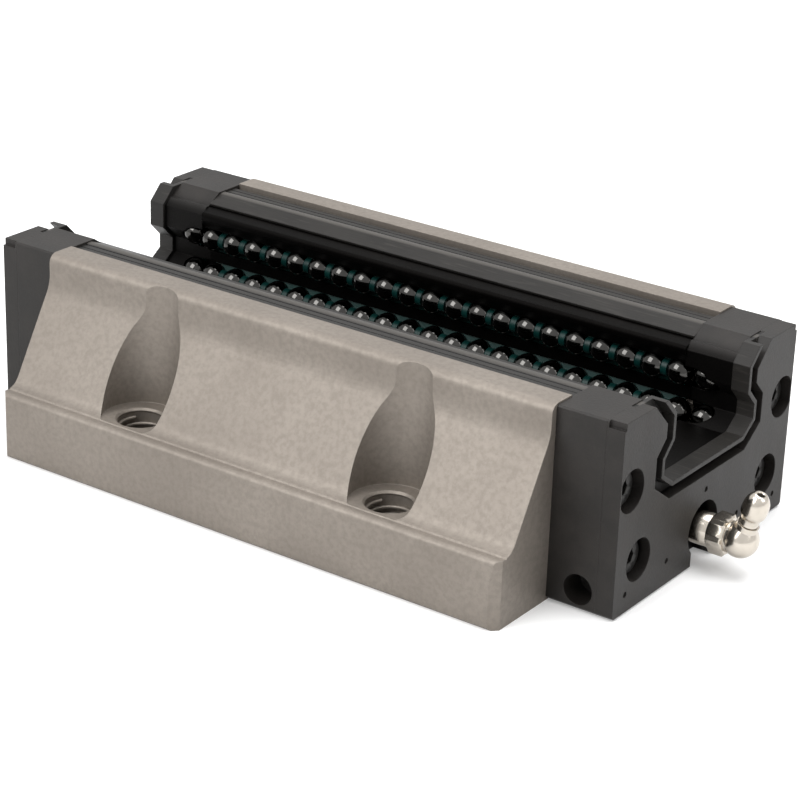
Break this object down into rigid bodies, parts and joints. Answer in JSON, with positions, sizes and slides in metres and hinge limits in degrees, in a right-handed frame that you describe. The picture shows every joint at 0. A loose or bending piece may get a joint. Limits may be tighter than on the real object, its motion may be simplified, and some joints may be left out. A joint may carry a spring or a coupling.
{
  "type": "linear guide carriage",
  "caption": "Long flanged linear guide carriage: steel block with an open rail channel, caged recirculating balls, resin end caps, rubber seals, tapped holes and an angled grease nipple.",
  "frame": {"origin": "centre of the flat mounting face, on the carriage's underside in this pose", "axes": "+Z from the mounting face towards the open side of the rail channel, +X along the travel towards the end with the grease nipple, +Y towards the flange on the right when the nipple's end is faced"},
  "size_m": [0.1656, 0.1, 0.04],
  "materials": {
    "ground_steel": "satin, warm grey, ground datum band",
    "black_resin": "moulded, finely mottled, satin",
    "black_rubber": "smooth black rubber",
    "green_resin": "dark teal resin",
    "ball_steel": "polished",
    "black_screws": "black oxide",
    "nickel": "nickel plated, satin",
    "spring_wire": "drawn wire"
  },
  "bodies": {
    "carriage": {"block_body": "ground_steel", "end_plate_front": "black_resin", "end_plate_rear": "black_resin", "seal_plate_front": "black_resin", "seal_plate_rear": "black_resin", "end_seal_front": "black_rubber", "end_seal_rear": "black_rubber", "plate_screws_front": "black_screws", "plate_screws_rear": "black_screws", "side_seal_left": "black_rubber", "side_seal_right": "black_rubber", "tip_retainer_left": "black_resin", "tip_retainer_right": "black_resin", "mid_retainer_left": "black_resin", "mid_retainer_right": "black_resin", "floor_retainer": "black_resin", "return_tubes_left": "black_resin", "return_tubes_right": "black_resin", "turn_guides_front_left": "black_resin", "turn_guides_rear_left": "black_resin", "turn_guides_front_right": "black_resin", "turn_guides_rear_right": "black_resin", "nipple_body": "nickel", "nipple_head": "nickel", "nipple_spring": "spring_wire"},
    "check_ball": {"nipple_check_ball": "ball_steel"},
    "load_run_left_lower": {"load_balls_left_lower": "ball_steel", "load_cage_left_lower": "green_resin"},
    "return_run_left_lower": {"return_balls_left_lower": "ball_steel", "return_cage_left_lower": "green_resin"},
    "front_turn_left_lower": {"front_turn_balls_left_lower": "ball_steel", "front_turn_cage_left_lower": "green_resin"},
    "rear_turn_left_lower": {"rear_turn_balls_left_lower": "ball_steel", "rear_turn_cage_left_lower": "green_resin"},
    "load_run_left_upper": {"load_balls_left_upper": "ball_steel", "load_cage_left_upper": "green_resin"},
    "return_run_left_upper": {"return_balls_left_upper": "ball_steel", "return_cage_left_upper": "green_resin"},
    "front_turn_left_upper": {"front_turn_balls_left_upper": "ball_steel", "front_turn_cage_left_upper": "green_resin"},
    "rear_turn_left_upper": {"rear_turn_balls_left_upper": "ball_steel", "rear_turn_cage_left_upper": "green_resin"},
    "load_run_right_lower": {"load_balls_right_lower": "ball_steel", "load_cage_right_lower": "green_resin"},
    "return_run_right_lower": {"return_balls_right_lower": "ball_steel", "return_cage_right_lower": "green_resin"},
    "front_turn_right_lower": {"front_turn_balls_right_lower": "ball_steel", "front_turn_cage_right_lower": "green_resin"},
    "rear_turn_right_lower": {"rear_turn_balls_right_lower": "ball_steel", "rear_turn_cage_right_lower": "green_resin"},
    "load_run_right_upper": {"load_balls_right_upper": "ball_steel", "load_cage_right_upper": "green_resin"},
    "return_run_right_upper": {"return_balls_right_upper": "ball_steel", "return_cage_right_upper": "green_resin"},
    "front_turn_right_upper": {"front_turn_balls_right_upper": "ball_steel", "front_turn_cage_right_upper": "green_resin"},
    "rear_turn_right_upper": {"rear_turn_balls_right_upper": "ball_steel", "rear_turn_cage_right_upper": "green_resin"}
  },
  "joints": [
    {"name": "load_run_left_lower_slide", "type": "slide", "parent": "carriage", "child": "load_run_left_lower", "axis": [1, 0, 0], "range_m": [-0.00298, 0.00298]},
    {"name": "return_run_left_lower_slide", "type": "slide", "parent": "carriage", "child": "return_run_left_lower", "axis": [1, 0, 0], "range_m": [-0.003, 0.003]},
    {"name": "front_turn_left_lower_hinge", "type": "hinge", "parent": "carriage", "child": "front_turn_left_lower", "pos_m": [0.06248, -0.02187, 0.01957], "axis": [0, 0.3746, -0.9272], "range_deg": [-30.2, 30.2]},
    {"name": "rear_turn_left_lower_hinge", "type": "hinge", "parent": "carriage", "child": "rear_turn_left_lower", "pos_m": [-0.06248, -0.02187, 0.01957], "axis": [0, 0.3746, -0.9272], "range_deg": [-30.2, 30.2]},
    {"name": "load_run_left_upper_slide", "type": "slide", "parent": "carriage", "child": "load_run_left_upper", "axis": [1, 0, 0], "range_m": [-0.00298, 0.00298]},
    {"name": "return_run_left_upper_slide", "type": "slide", "parent": "carriage", "child": "return_run_left_upper", "axis": [1, 0, 0], "range_m": [-0.003, 0.003]},
    {"name": "front_turn_left_upper_hinge", "type": "hinge", "parent": "carriage", "child": "front_turn_left_upper", "pos_m": [0.06248, -0.02221, 0.03119], "axis": [0, -0.1564, -0.9877], "range_deg": [-30.2, 30.2]},
    {"name": "rear_turn_left_upper_hinge", "type": "hinge", "parent": "carriage", "child": "rear_turn_left_upper", "pos_m": [-0.06248, -0.02221, 0.03119], "axis": [0, -0.1564, -0.9877], "range_deg": [-30.2, 30.2]},
    {"name": "load_run_right_lower_slide", "type": "slide", "parent": "carriage", "child": "load_run_right_lower", "axis": [1, 0, 0], "range_m": [-0.00298, 0.00298]},
    {"name": "return_run_right_lower_slide", "type": "slide", "parent": "carriage", "child": "return_run_right_lower", "axis": [1, 0, 0], "range_m": [-0.003, 0.003]},
    {"name": "front_turn_right_lower_hinge", "type": "hinge", "parent": "carriage", "child": "front_turn_right_lower", "pos_m": [0.06248, 0.02187, 0.01957], "axis": [0, 0.3746, 0.9272], "range_deg": [-30.2, 30.2]},
    {"name": "rear_turn_right_lower_hinge", "type": "hinge", "parent": "carriage", "child": "rear_turn_right_lower", "pos_m": [-0.06248, 0.02187, 0.01957], "axis": [0, 0.3746, 0.9272], "range_deg": [-30.2, 30.2]},
    {"name": "load_run_right_upper_slide", "type": "slide", "parent": "carriage", "child": "load_run_right_upper", "axis": [1, 0, 0], "range_m": [-0.00298, 0.00298]},
    {"name": "return_run_right_upper_slide", "type": "slide", "parent": "carriage", "child": "return_run_right_upper", "axis": [1, 0, 0], "range_m": [-0.003, 0.003]},
    {"name": "front_turn_right_upper_hinge", "type": "hinge", "parent": "carriage", "child": "front_turn_right_upper", "pos_m": [0.06248, 0.02221, 0.03119], "axis": [0, -0.1564, 0.9877], "range_deg": [-30.2, 30.2]},
    {"name": "rear_turn_right_upper_hinge", "type": "hinge", "parent": "carriage", "child": "rear_turn_right_upper", "pos_m": [-0.06248, 0.02221, 0.03119], "axis": [0, -0.1564, 0.9877], "range_deg": [-30.2, 30.2]},
    {"name": "check_ball_slide", "type": "slide", "parent": "carriage", "child": "check_ball", "axis": [-0.309, 0, -0.9511], "range_m": [0, 0.0008], "stiffness_N_per_m": 150, "springref_m": -0.0015, "deforming": ["nipple_spring"]}
  ],
  "couplings": [
    {"joint": "return_run_left_lower_slide", "follows": "load_run_left_lower_slide", "ratio": -1},
    {"joint": "front_turn_left_lower_hinge", "follows": "load_run_left_lower_slide", "rad_per_m": 176},
    {"joint": "rear_turn_left_lower_hinge", "follows": "load_run_left_lower_slide", "rad_per_m": 176},
    {"joint": "return_run_left_upper_slide", "follows": "load_run_left_upper_slide", "ratio": -1},
    {"joint": "front_turn_left_upper_hinge", "follows": "load_run_left_upper_slide", "rad_per_m": 176},
    {"joint": "rear_turn_left_upper_hinge", "follows": "load_run_left_upper_slide", "rad_per_m": 176},
    {"joint": "return_run_right_lower_slide", "follows": "load_run_right_lower_slide", "ratio": -1},
    {"joint": "front_turn_right_lower_hinge", "follows": "load_run_right_lower_slide", "rad_per_m": 176},
    {"joint": "rear_turn_right_lower_hinge", "follows": "load_run_right_lower_slide", "rad_per_m": 176},
    {"joint": "return_run_right_upper_slide", "follows": "load_run_right_upper_slide", "ratio": -1},
    {"joint": "front_turn_right_upper_hinge", "follows": "load_run_right_upper_slide", "rad_per_m": 176},
    {"joint": "rear_turn_right_upper_hinge", "follows": "load_run_right_upper_slide", "rad_per_m": 176}
  ]
}
